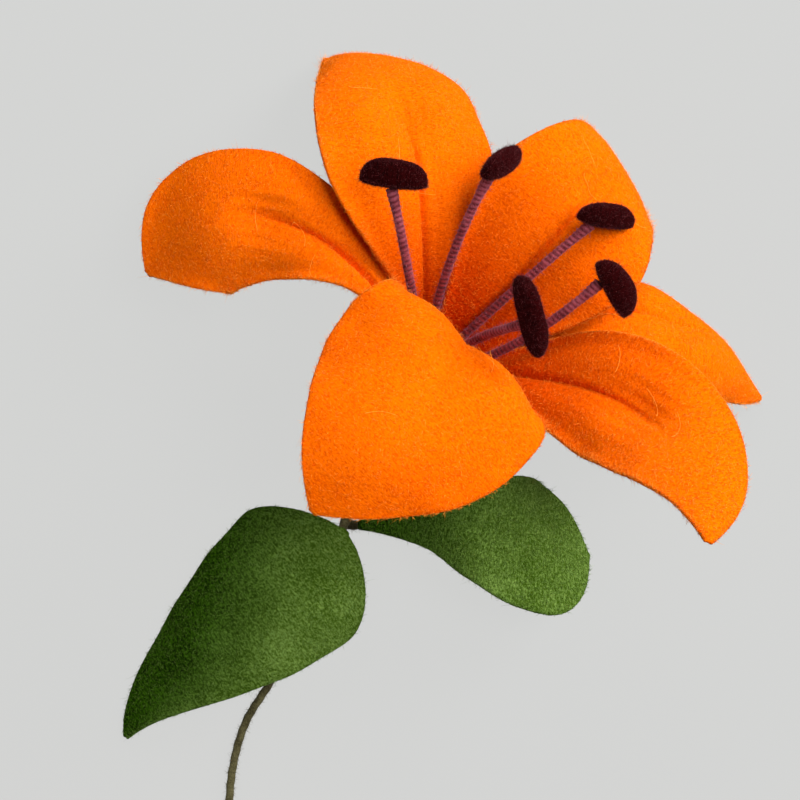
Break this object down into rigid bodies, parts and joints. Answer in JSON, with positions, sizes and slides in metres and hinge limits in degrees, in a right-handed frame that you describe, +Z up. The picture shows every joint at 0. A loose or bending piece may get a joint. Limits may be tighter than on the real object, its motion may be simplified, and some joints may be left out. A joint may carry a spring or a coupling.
{
  "type": "felt tiger lily",
  "caption": "Cut tiger lily sewn from wool felt on a wrapped wire stem, lying down: curled petals, stamens with dark pads, green leaves.",
  "frame": {"origin": "centre of the underside of the bounding box, on the surface that the flower lies on", "axes": "+Z up from the surface, +Y from the cut end of the stem towards the bloom"},
  "size_m": [0.1517, 0.2812, 0.077],
  "materials": {
    "petal_felt": "orange wool felt, fuzzy",
    "leaf_felt": "green wool felt, fuzzy",
    "anther_felt": "dark burgundy wool felt",
    "filament_wool": "mottled pink and dark purple wool yarn",
    "stem_wool": "olive brown wool wrap",
    "steel_wire": "plain florist's wire"
  },
  "bodies": {
    "root": {"petal_inner_left": "petal_felt", "petal_outer_top": "petal_felt", "petal_inner_upper_right": "petal_felt", "petal_outer_right": "petal_felt", "petal_inner_lower_right": "petal_felt", "petal_outer_front": "petal_felt", "bloom_cup": "stem_wool", "bloom_core": "petal_felt", "filament_left": "filament_wool", "filament_top": "filament_wool", "filament_upper_right": "filament_wool", "filament_right": "filament_wool", "filament_front": "filament_wool", "filament_wire_left": "steel_wire", "filament_wire_top": "steel_wire", "filament_wire_upper_right": "steel_wire", "filament_wire_right": "steel_wire", "filament_wire_front": "steel_wire", "anther_left": "anther_felt", "anther_top": "anther_felt", "anther_upper_right": "anther_felt", "anther_right": "anther_felt", "anther_front": "anther_felt", "stem_wrap": "stem_wool", "stem_wire": "steel_wire", "leaf_left": "leaf_felt", "leaf_right": "leaf_felt", "petiole_left": "stem_wool", "petiole_right": "stem_wool"}
  },
  "joints": []
}
